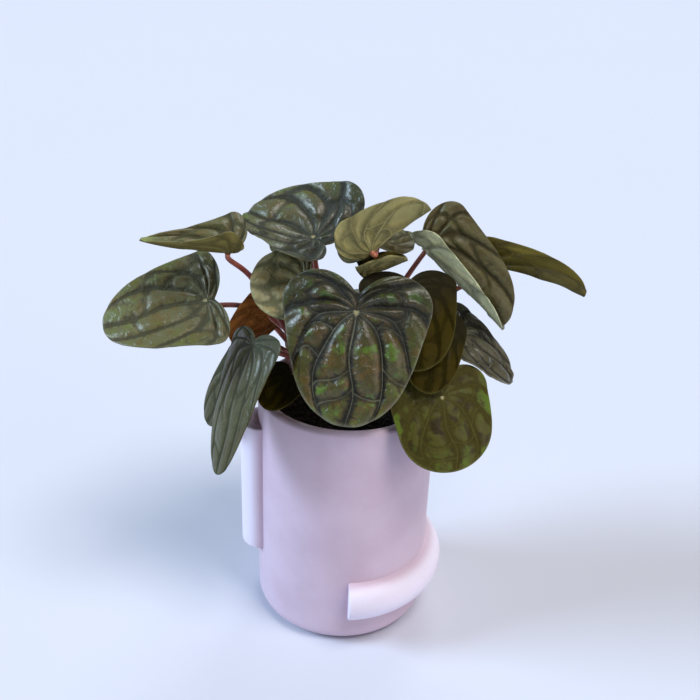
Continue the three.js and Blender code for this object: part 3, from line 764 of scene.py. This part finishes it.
def stalk_tree():
    """Makes a round stalk along each path, as thick as the path's own girth says."""
    tree, given = new_tree("Stalks", Radius="Float", Sides="Int")
    path = add_node(tree, "GeometryNodeMeshToCurve", {"Mesh": given["Geometry"]})
    girth = add_node(tree, "GeometryNodeInputNamedAttribute", {"Name": "girth"}, "Attribute")
    circle = add_node(tree, "GeometryNodeCurvePrimitiveCircle", {
        "Resolution": given["Sides"], "Radius": given["Radius"]})
    sweep = add_node(tree, "GeometryNodeCurveToMesh", {
        "Curve": path, "Profile Curve": circle, "Scale": girth, "Fill Caps": True})
    return end_tree(tree, given, sweep)


def crumb_tree():
    """Scatters small crumbs over the soil's surface, each with a turn, a size and a tone."""
    tree, given = new_tree("Soil crumbs", Density="Float", Size="Float", Seed="Int")
    seed = given["Seed"]
    random = "FunctionNodeRandomValue"
    scatter = add_node(tree, "GeometryNodeDistributePointsOnFaces", {
        "Mesh": given["Geometry"], "Density": given["Density"], "Seed": seed}, "Points")
    crumb = add_node(
        tree, "GeometryNodeMeshIcoSphere", {"Radius": given["Size"], "Subdivisions": 1}, "Mesh")
    turn = add_node(tree, random, {1: FULL_TURNS, "Seed": seed}, data_type="FLOAT_VECTOR")
    size = add_node(tree, random, {0: SMALLEST_CRUMB, "Seed": seed}, data_type="FLOAT_VECTOR")
    tone = add_node(tree, random, {"Seed": seed}, 1)
    place = add_node(tree, "GeometryNodeInstanceOnPoints", {
        "Points": scatter, "Instance": crumb, "Rotation": turn, "Scale": size})
    toned_crumbs = add_node(tree, "GeometryNodeStoreNamedAttribute", {
        "Geometry": place, "Name": "tone", "Value": tone}, domain="INSTANCE")
    return end_tree(tree, given, toned_crumbs)


def make_wall(settings, material):
    """The pot's wall, floor, lip and rounded base edge."""
    radius, height, wall = (v / MM for v in (settings.radius, settings.height, settings.wall))
    lip = wall / 2
    inside = radius - wall
    side = np.linspace(BASE_ROUND, height - lip, 13)[1:-1]
    profile = [
        (0, 0),
        *arc(BASE_ROUND, radius - BASE_ROUND, BASE_ROUND, -90, 0, 12),
        *[(radius, up) for up in side],
        *arc(lip, radius - lip, height - lip, 0, 180, 14),
        *arc(INNER_ROUND, inside - INNER_ROUND, FLOOR + INNER_ROUND, 0, -90, 6),
        (0, FLOOR),
    ]
    body = add_line("wall", [(across - radius, -up, 0) for across, up in profile])
    return run_tree(body, turned_tree(), {
        "Radius": settings.radius, "Segments": settings.segments, "Material": material})


def make_bars(settings, material):
    """The level bar and the upright bar, each a half-round section along its path."""
    radius = settings.radius / MM
    half, proud = settings.bar_width / MM / 2, settings.bar_proud / MM
    round_radius = (half ** 2 + proud ** 2) / (2 * proud)
    reach = math.degrees(math.asin(half / round_radius))
    crest = arc(round_radius, proud - round_radius, 0, -reach, reach, 28)
    outline = [(-BAR_ROOT, -half), *crest, (-BAR_ROOT, half)]
    joins = [(i, (i + 1) % len(outline)) for i in range(len(outline))]
    azimuth = math.radians(UPRIGHT_AZIMUTH)
    level = [polar(radius, angle, LEVEL_HEIGHT)
             for angle in np.radians(np.linspace(LEVEL_START, LEVEL_END, LEVEL_STEPS))]
    upright = [polar(radius, azimuth, height)
               for height in np.linspace(UPRIGHT_BOTTOM, UPRIGHT_TOP, UPRIGHT_STEPS)]
    tree = bar_tree()
    bars = []
    for name, path, turn in (("level bar", level, 0), ("upright bar", upright, azimuth)):
        turned = [Matrix.Rotation(turn, 3, "Z") @ Vector((x, y, 0)) for x, y in outline]
        section = add_piece("section", turned, (), joins)
        bar = run_tree(add_line(name, path), tree, {"Section": section, "Material": material})
        bpy.data.objects.remove(section, do_unlink=True)
        soft = bar.modifiers.new("soft edges", "BEVEL")
        soft.width = SOFT_EDGE * MM
        soft.segments = 3
        soft.limit_method = "ANGLE"
        soft.angle_limit = math.radians(50)
        settle(bar)
        bar.data.shade_smooth()
        bar.data.set_sharp_from_angle(angle=math.radians(40))
        bars.append(bar)
    return bars


def soil_height(x, y, outside, well):
    """The soil's surface in millimetres: a low slope up to the crown with small lumps."""
    slope = np.clip((outside - np.hypot(x, y)) / (outside - well), 0, 1)
    lumps = (0.35 * np.sin(0.83 * x + 1.1) * np.cos(0.71 * y)
             + 0.25 * np.sin(1.9 * x - 0.6 * y) * np.cos(1.7 * y + 0.4 * x))
    return SOIL_EDGE + (SOIL_MIDDLE - SOIL_EDGE) * slope + lumps


def soil_surface(reach, outside, well, around, rings):
    """Rings of points over the soil from its well outward, and the faces between them."""
    points, faces = [], []
    for step in range(rings + 1):
        spots = ring(well + (reach - well) * step / rings, 0.0, around)
        spots[:, 2] = soil_height(spots[:, 0], spots[:, 1], outside, well)
        points.extend(spots)
    for step in range(rings):
        faces.extend(band(step * around, (step + 1) * around, around))
    return points, faces


def make_soil_body(outside, well):
    """The filling of the pot: its fine top, its side and base, and the well for the crown."""
    around, rings = 120, 36
    points, faces = soil_surface(outside, outside, well, around, rings)
    base, well_base = FLOOR + CLEARANCE, CROWN_BOTTOM - CLEARANCE
    edge = rings * around
    side, under, pole = (edge + around * step for step in (1, 2, 3))
    well_ring = pole + 1
    points.extend(ring(outside, base + INNER_ROUND, around))
    points.extend(ring(outside - INNER_ROUND, base, around))
    points.append((0, 0, base))
    points.extend(ring(well, well_base, around))
    points.append((0, 0, well_base))
    faces += band(edge, side, around) + band(side, under, around)
    faces += band(under, pole, around, pole=True)
    faces += band(0, well_ring, around, flip=True)
    faces += band(well_ring, well_ring + around, around, pole=True, flip=True)
    body = add_piece("soil body", points, faces)
    body.data.shade_smooth()
    mark(body, "tone", np.zeros(len(points)))
    return body


def spline(points, count):
    """Points on a smooth curve through the given points, close to them as a bent stalk is."""
    points = [np.array(p, float) for p in points]
    ends = [2 * points[0] - points[1], *points, 2 * points[-1] - points[-2]]
    result = []
    for step in range(count + 1):
        place = (len(points) - 1) * step / count
        span = min(int(place), len(points) - 2)
        weight = place - span
        a, b, c, d = ends[span:span + 4]
        gaps = [max(np.dot(q - p, q - p) ** 0.25, 1e-4) for p, q in ((a, b), (b, c), (c, d))]
        start = ((b - a) / gaps[0] - (c - a) / (gaps[0] + gaps[1]) + (c - b) / gaps[1]) * gaps[1]
        end = ((c - b) / gaps[1] - (d - b) / (gaps[1] + gaps[2]) + (d - c) / gaps[2]) * gaps[1]
        result.append(b + start * weight + (3 * (c - b) - 2 * start - end) * weight ** 2
                      + (2 * (b - c) + start + end) * weight ** 3)
    return result


def heart_radius(angle):
    """The outline as a share of the blade's length: a round heart with a notch at the stalk."""
    body = sum(part * np.cos(turns * angle) for turns, part in enumerate(HEART_BODY))
    from_notch = (math.pi - np.abs(angle)) / NOTCH_SPREAD
    return body - NOTCH_DEPTH * np.exp(-from_notch ** 2)


def vein_angle(place, share):
    """The direction of a place between the veins: 0 is the midrib, each whole number a vein."""
    leaves, reaches = np.radians(VEIN_LEAVES), np.radians(VEIN_REACHES)
    first = np.minimum(np.floor(np.abs(place)), VEIN_SPACES - 1).astype(int)
    between = np.abs(place) - first
    turned = share ** VEIN_CURVE
    low = leaves[first] + (reaches[first] - leaves[first]) * turned
    high = leaves[first + 1] + (reaches[first + 1] - leaves[first + 1]) * turned
    waver = WAVER * np.sin(2.3 * place + 6 * share) * np.sin(math.pi * np.clip(share, 0, 1))
    waver = waver * np.clip(VEIN_SPACES - np.abs(place), 0, 1)
    return np.sign(place) * (low + (high - low) * between) + waver


def bend(start, end, length, along):
    """Length along and across a bend that turns evenly from one angle to another."""
    rate = (end - start) / length
    flat = np.abs(rate) < 1e-6
    safe = np.where(flat, 1.0, rate)
    turned = start + rate * along
    ahead = np.where(flat, along * np.cos(start), (np.sin(turned) - np.sin(start)) / safe)
    rise = np.where(flat, along * np.sin(start), (np.cos(start) - np.cos(turned)) / safe)
    return ahead, rise


def blade_axes(leaf):
    """A leaf's base, its axes where the stalk meets it, its length and its bend."""
    base, tip, face = (np.array(leaf[key], float) for key in ("at", "tip", "face"))
    chord = tip - base
    arch = math.radians(leaf["arch"])
    length = np.linalg.norm(chord) * (1 if abs(arch) < 1e-6 else arch / 2 / math.sin(arch / 2))
    ahead = chord / np.linalg.norm(chord)
    right = np.cross(ahead, face)
    right /= np.linalg.norm(right)
    up = np.cross(right, ahead)
    turn = np.array(Matrix.Rotation(arch / 2, 3, Vector(right)))
    return base, turn @ ahead, right, turn @ up, length, arch


def blade_surface(leaf, place, share):
    """The smooth middle surface: points, and each point's place on the flattened blade."""
    base, ahead, right, up, length, arch = blade_axes(leaf)
    angle = vein_angle(place, share)
    radius = heart_radius(angle) * length * share
    along = radius * np.cos(angle)
    across = radius * np.sin(angle) * leaf["width"] / (HEART_WIDTH * length)
    across = np.where(along < 0, across, across * (1 - leaf["taper"] * along / length))
    along = np.where(along < 0, along * leaf["lobe"], along)
    cup_left, cup_right = np.radians(leaf["cup"])
    cup = np.where(across < 0, cup_left, cup_right)
    side, rise = bend(cup * FOLD_SHARE, cup, leaf["width"] / 2, np.abs(across))
    slope = arch * along / length
    forward, drop = bend(0.0, arch, length, along)
    points = (base + (forward + rise * np.sin(slope))[..., None] * ahead
              + (np.sign(across) * side)[..., None] * right
              + (rise * np.cos(slope) - drop)[..., None] * up)
    return points, np.stack([across, along], -1), radius


def cross_veins(leaf, number):
    """The cross veins of every space: where they start and end, and how far they bow."""
    if leaf["name"] == "leaf_front":
        return FRONT_CROSS_VEINS
    draw = np.random.default_rng(40 + number)
    spaces = []
    for space in range(2 * VEIN_SPACES):
        count = draw.integers(1, 4)
        rows = []
        for index in range(count):
            start = (index + 0.75 + draw.uniform(-0.25, 0.25)) / (count + 0.35)
            lean = draw.uniform(0.02, 0.16) * (1 if space >= VEIN_SPACES else -1)
            rows.append((start, start + lean, draw.uniform(-0.08, 0.08)))
        spaces.append(tuple(rows))
    return spaces


def blade_relief(leaf, number, place, share, radius, settings):
    """Swells between the veins in millimetres, their height from 0 to 1, and the vein lines."""
    draw = np.random.default_rng(100 + number)
    first = np.floor(place)
    inside = place - first
    space = (first + VEIN_SPACES).astype(int) % (2 * VEIN_SPACES)
    near = np.round(place)
    from_vein = np.abs(vein_angle(place, share) - vein_angle(near, share)) * radius
    width = np.abs(vein_angle(first + 1, share) - vein_angle(first, share)) * radius
    reach = radius / np.maximum(share, 0.01)
    groove, line = settings.groove / MM, settings.line / MM
    groove = groove * np.clip(width / 8, 0.25, 1)
    at_notch = np.abs(near) >= VEIN_SPACES
    main_groove = np.exp(-(from_vein / groove) ** 2)
    main_line = np.exp(-(from_vein / (line * (1.3 - 0.7 * share))) ** 2)
    plain = np.interp(np.abs(place), *VEIN_FADE)
    main_line = np.where(at_notch, 0, main_line * (1 - 0.3 * share) * plain)
    cross_groove = np.zeros_like(share)
    crossing = np.full_like(share, FAR_OFF)
    strength = np.clip((width - 1.5) / 4, 0, 1)
    clear = np.maximum(strength * plain, 0.05)
    for index, rows in enumerate(cross_veins(leaf, number)):
        here = space == index
        offsets = []
        for start, end, bow in rows:
            middle = start + (end - start) * inside + bow * 4 * inside * (1 - inside)
            slope = (end - start + bow * 4 * (1 - 2 * inside)) * reach / np.maximum(width, 0.5)
            offsets.append((share - middle) * reach / np.sqrt(1 + slope ** 2))
        nearest = np.min(np.abs(offsets), axis=0)
        cross_groove = np.where(here, strength * np.exp(-(nearest / CROSS_GROOVE) ** 2), cross_groove)
        side = np.prod(np.sign(offsets), axis=0)
        crossing = np.where(here, side * nearest / clear, crossing)
    forks = draw.uniform(0.35, 0.65, 2 * VEIN_SPACES)[space]
    starts = draw.uniform(0.62, 0.8, 2 * VEIN_SPACES)[space]
    from_fork = np.abs(inside - forks - 0.5 * (share - starts) * np.sign(forks - 0.5)) * width
    forked = np.clip((share - starts) / 0.12, 0, 1) * np.clip((width - 4) / 4, 0, 1)
    fork_groove = forked * np.exp(-(from_fork / FORK_GROOVE) ** 2)
    phases = draw.uniform(0, 2 * math.pi, len(UNEVEN))
    uneven = 1 + sum(
        depth * np.sin(turns * place + waves * share + phase)
        for (depth, turns, waves), phase in zip(UNEVEN, phases))
    crown = 0.65 * (1 - main_groove) + 0.35 * np.sin(math.pi * inside)
    swell = crown * (1 - 0.75 * cross_groove) * (1 - 0.35 * fork_groove) * uneven
    reach_in = np.sin(math.pi * np.minimum(1, PLEAT_START + PLEAT_SPREAD * share))
    reach_in = reach_in * np.clip(share / STALK_FLAT, 0, 1) * np.clip(width / 7, 0.15, 1)
    height = settings.pleat / MM * leaf["relief"] * swell * reach_in
    vein = np.maximum(main_line, 0.12 * fork_groove)
    crossing = np.clip(crossing, -FAR_OFF, FAR_OFF)
    return height, np.clip(swell * np.clip(share / STALK_FLAT, 0, 1), 0, 1), vein, crossing


def make_blade(leaf, number, settings, material):
    """One leaf blade: its upper side, underside and thin edge as one closed mesh."""
    rows = int(settings.rows * leaf["fine"])
    place = []
    for space in range(-VEIN_SPACES, VEIN_SPACES):
        part = SPACE_COLUMNS[space if space >= 0 else -space - 1]
        columns = max(5, int(settings.columns * leaf["fine"] * part))
        steps = np.arange(columns) / columns
        place.extend(space + steps - COLUMN_BUNCH * np.sin(2 * math.pi * steps) / (2 * math.pi))
    share = (np.arange(1, rows + 1) / rows) ** ROW_SPREAD
    place, share = np.meshgrid(np.array(place), share, indexing="ij")
    points, flat, radius = blade_surface(leaf, place, share)
    around = np.roll(points, -1, 0) - np.roll(points, 1, 0)
    normal = np.cross(around, np.gradient(points, axis=1))
    normal /= np.maximum(np.linalg.norm(normal, axis=2, keepdims=True), 1e-9)
    height, swell, vein, crossing = blade_relief(leaf, number, place, share, radius, settings)
    edge = np.clip((share - EDGE_START) / (1 - EDGE_START), 0, 1) ** 2
    rim = settings.rim / MM
    thick = rim + (THICK - rim) * (1 - share ** 6)
    top = points + normal * height[..., None]
    bottom = top - normal * thick[..., None]
    base, _, _, up, length, _ = blade_axes(leaf)
    total = place.shape[0]
    count = total * rows + 1
    faces = []
    for column in range(total):
        here, beside = 1 + column * rows, 1 + (column + 1) % total * rows
        faces.append((0, beside, here))
        faces.append((count, count + here, count + beside))
        for row in range(rows - 1):
            upper = (here + row, beside + row, beside + row + 1, here + row + 1)
            faces.append(upper)
            faces.append(tuple(count + upper[i] for i in (0, 3, 2, 1)))
        last = rows - 1
        faces.append((here + last, beside + last, count + beside + last, count + here + last))
    corners = np.concatenate(
        [[base], top.reshape(-1, 3), [base - up * THICK], bottom.reshape(-1, 3)])
    piece = add_piece(leaf["name"] + "_blade", corners, faces)
    mesh = piece.data
    mesh.shade_smooth()

    # Every value of the upper side is kept for the underside too, each with its own at the stalk
    ahead = flat[..., 1] / length
    for name, values, at_stalk in (
            ("vein", vein, 1.0), ("swell", swell, 0.2), ("edge", edge, 0.0),
            ("crossing", crossing, FAR_OFF), ("outward", share, 0.0), ("ahead", ahead, 0.0)):
        mark(piece, name, np.tile(np.concatenate([[at_stalk], values.ravel()]), 2))
    mark(piece, "under", np.repeat([0.0, 1.0], count))

    # The flat map: ten millimetres are one unit, and every leaf has a part of the map of its own
    spot = np.tile(np.concatenate([[[0, 0]], flat.reshape(-1, 2)]), (2, 1))
    spot = spot * MAP_SCALE + np.multiply(MAP_STEP, number)
    loops = np.zeros(len(mesh.loops), int)
    mesh.loops.foreach_get("vertex_index", loops)
    layer = mesh.uv_layers.new(name="blade")
    layer.data.foreach_set("uv", spot[loops].ravel())
    mesh.materials.append(material)
    return piece


def stalk_path(leaf):
    """A stalk's points from the crown to the blade, in millimetres."""
    base, _, _, up, _, _ = blade_axes(leaf)
    end = base - up * (THICK + CLEARANCE * 0.2)
    neck = end - up * STALK_NECK
    middle = leaf.get("via") or (
        neck[0] / 2, neck[1] / 2, CROWN_TOP + STALK_RISE * (neck[2] - CROWN_TOP))
    root = polar(STALK_ROOT, math.atan2(middle[1], middle[0]), CROWN_TOP - STALK_DEPTH)
    return spline([root, middle, neck, end], STALK_STEPS)


def make_stalks(settings, material):
    """Every stalk, thicker at its root and at the blade, from one tree."""
    points, edges, girth, along = [], [], [], []
    for leaf in LEAVES:
        path = stalk_path(leaf)
        first = len(points)
        points.extend(path)
        edges.extend((first + i, first + i + 1) for i in range(len(path) - 1))
        share = np.linspace(0, 1, len(path))
        girth.extend(1.0 + 0.25 * (1 - share) ** 3 - 0.18 * share + 0.25 * share ** 10)
        along.extend(share)
    piece = add_piece("stalks", points, (), edges)
    mark(piece, "girth", girth)
    mark(piece, "along", along)
    return run_tree(piece, stalk_tree(), {
        "Radius": settings.radius, "Sides": settings.sides, "Material": material})


def make_crown(material):
    """The knobbly crown in the soil."""
    around, rows = 72, 26
    profile = [(0.0, CROWN_BOTTOM), (CROWN_RADIUS - 3, CROWN_BOTTOM), (CROWN_RADIUS, CROWN_BOTTOM + 3),
               (CROWN_RADIUS, CROWN_TOP - 6), (CROWN_RADIUS - 2, CROWN_TOP - 2.5),
               (CROWN_RADIUS - 6, CROWN_TOP - 0.8), (0.0, CROWN_TOP - 0.5)]
    lengths = np.cumsum([0.0, *(math.dist(a, b) for a, b in zip(profile, profile[1:]))])
    places = np.linspace(0, lengths[-1], rows + 1)[1:-1]
    radii, heights = (np.interp(places, lengths, values) for values in zip(*profile))
    angles = np.linspace(0, 2 * math.pi, around, endpoint=False)
    points, faces = [], []
    for radius, height in zip(radii, heights):
        knobs = KNOB_HEIGHT * np.sin(7 * angles + height) * np.sin(1.1 * height)
        reach = np.minimum(radius + knobs * min(1, radius / 6), CROWN_RADIUS)
        points.extend(ring(reach, height, around))
    last, pole = len(points) - around, len(points)
    for first in range(0, last, around):
        faces += band(first, first + around, around, flip=True)
    faces += band(0, pole, around, pole=True)
    faces += band(last, pole + 1, around, pole=True, flip=True)
    points.extend([(0, 0, CROWN_BOTTOM), (0, 0, CROWN_TOP - 0.5)])
    piece = add_piece("crown", points, faces)
    piece.data.shade_smooth()
    mark(piece, "crown", np.ones(len(points)))
    piece.data.materials.append(material)
    return piece


def finish_piece(piece, node):
    """Puts a finished piece under the root and hides the solid that it stands for."""
    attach(piece, "root")
    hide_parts(node)


class PEPEROMIA_OT_pot(bpy.types.Operator):
    """Makes the pot with its two bars."""

    bl_idname = "peperomia.pot"
    bl_label = "Pot"

    def execute(self, context):
        settings = context.scene.peperomia_pot
        material = pot_material(settings)
        wall = make_wall(settings, material)
        piece = join_pieces("lilac_pot", [wall, *make_bars(settings, material)])
        finish_piece(piece, "pot")
        return {"FINISHED"}


class PEPEROMIA_OT_soil(bpy.types.Operator):
    """Makes the soil and the crumbs on it."""

    bl_idname = "peperomia.soil"
    bl_label = "Soil"

    def execute(self, context):
        settings = context.scene.peperomia_soil
        pot = context.scene.peperomia_pot
        material = soil_material(settings)
        outside = (pot.radius - pot.wall) / MM - CLEARANCE
        well = CROWN_RADIUS + CLEARANCE
        body = make_soil_body(outside, well)
        body.data.materials.append(material)
        bed = add_piece("crumbs", *soil_surface(outside - CRUMB_MARGIN, outside, well, around=48, rings=8))
        crumbs = run_tree(bed, crumb_tree(), {
            "Density": settings.density, "Size": settings.crumb, "Seed": settings.seed,
            "Material": material})
        crumbs.data.shade_flat()
        finish_piece(join_pieces("potting_soil", [body, crumbs]), "soil")
        return {"FINISHED"}


class PEPEROMIA_OT_stalks(bpy.types.Operator):
    """Makes the crown and every stalk."""

    bl_idname = "peperomia.stalks"
    bl_label = "Crown and stalks"

    def execute(self, context):
        settings = context.scene.peperomia_stalks
        material = stalk_material(settings)
        piece = join_pieces("red_stalks", [make_stalks(settings, material), make_crown(material)])
        finish_piece(piece, "crown_and_stalks")
        return {"FINISHED"}


class PEPEROMIA_OT_leaves(bpy.types.Operator):
    """Makes every leaf blade."""

    bl_idname = "peperomia.leaves"
    bl_label = "Leaves"

    def execute(self, context):
        settings = context.scene.peperomia_leaves
        materials = {key: leaf_material(f"{key} leaf", look) for key, look in LOOKS.items()}
        for number, leaf in enumerate(LEAVES):
            piece = make_blade(leaf, number, settings, materials[leaf["look"]])
            finish_piece(piece, leaf["name"])
        return {"FINISHED"}


def make_sky(strength):
    """A faint light from all round behind a plain backdrop for the camera."""
    world = bpy.data.worlds.new("pale sky")
    world.use_nodes = True
    tree = world.node_tree
    sky = tree.nodes["Background"]
    feed(tree, sky, {"Color": SKY_BLUE, "Strength": strength})
    backdrop = add_node(tree, "ShaderNodeBackground", {"Color": BACKDROP})
    rays = add_node(tree, "ShaderNodeLightPath", {}, "Is Camera Ray")
    choice = add_node(tree, "ShaderNodeMixShader", {0: rays, 1: sky.outputs[0], 2: backdrop})
    tree.links.new(choice, tree.nodes["World Output"].inputs["Surface"])
    return world


class PEPEROMIA_OT_stage(bpy.types.Operator):
    """Makes the floor, the lights and the camera."""

    bl_idname = "peperomia.stage"
    bl_label = "Stage"

    def execute(self, context):
        settings = context.scene.peperomia_stage
        scene = context.scene
        corners = [(x * FLOOR_SPAN, y * FLOOR_SPAN, 0) for x, y in ((-1, -1), (1, -1), (1, 1), (-1, 1))]
        floor = add_piece("floor", corners, [(0, 1, 2, 3)])
        floor.data.materials.append(floor_material(settings))
        scene.world = make_sky(settings.sky)
        for name, place, strength, width, colour in SUNS:
            light = bpy.data.lights.new(name, "SUN")
            light.energy = strength
            light.angle = math.radians(width)
            light.color = colour
            lamp = bpy.data.objects.new(name, light)
            lamp.location = place
            lamp.rotation_euler = (-Vector(place)).to_track_quat("-Z", "Y").to_euler()
            scene.collection.objects.link(lamp)
        camera = bpy.data.cameras.new("camera")
        camera.lens = settings.lens
        camera.sensor_width = 36
        camera.clip_start = 0.01
        eye = bpy.data.objects.new("camera", camera)
        look_down = Matrix.Rotation(math.radians(90 - CAMERA_DOWN), 4, "X")
        lean = Matrix.Rotation(math.radians(CAMERA_LEAN), 4, "Z")
        eye.matrix_world = Matrix.Translation(CAMERA_PLACE) @ look_down @ lean
        scene.collection.objects.link(eye)
        scene.camera = eye
        scene.view_settings.view_transform = "Standard"
        return {"FINISHED"}


class PEPEROMIA_PT_panel(bpy.types.Panel):
    """Lists the pieces in the sidebar."""

    bl_idname = "PEPEROMIA_PT_panel"
    bl_label = "Potted peperomia"
    bl_space_type = "VIEW_3D"
    bl_region_type = "UI"
    bl_category = "Peperomia"

    def draw(self, context):
        for operator in OPERATORS:
            self.layout.operator(operator.bl_idname)
        for name, group in SETTINGS:
            box = self.layout.box()
            box.label(text=group.__doc__)
            values = getattr(context.scene, name)
            for key in group.__annotations__:
                box.prop(values, key)


OPERATORS = (PEPEROMIA_OT_pot, PEPEROMIA_OT_soil, PEPEROMIA_OT_stalks, PEPEROMIA_OT_leaves,
             PEPEROMIA_OT_stage)
SETTINGS = (("peperomia_pot", PotSettings), ("peperomia_soil", SoilSettings),
            ("peperomia_stalks", StalkSettings), ("peperomia_leaves", LeafSettings),
            ("peperomia_stage", StageSettings))
CLASSES = (*(group for _, group in SETTINGS), *OPERATORS, PEPEROMIA_PT_panel)


def register():
    """Registers the settings, the operators and the panel."""
    for part in CLASSES:
        bpy.utils.register_class(part)
    for name, group in SETTINGS:
        setattr(bpy.types.Scene, name, PointerProperty(type=group))


def unregister():
    """Takes the panel, the operators and the settings away again."""
    for name, _ in SETTINGS:
        delattr(bpy.types.Scene, name)
    for part in reversed(CLASSES):
        bpy.utils.unregister_class(part)


def main():
    """Makes everything in order."""
    register()
    bpy.ops.peperomia.stage()
    bpy.ops.peperomia.pot()
    bpy.ops.peperomia.soil()
    bpy.ops.peperomia.stalks()
    bpy.ops.peperomia.leaves()
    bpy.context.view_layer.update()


if __name__ == "__main__":
    main()
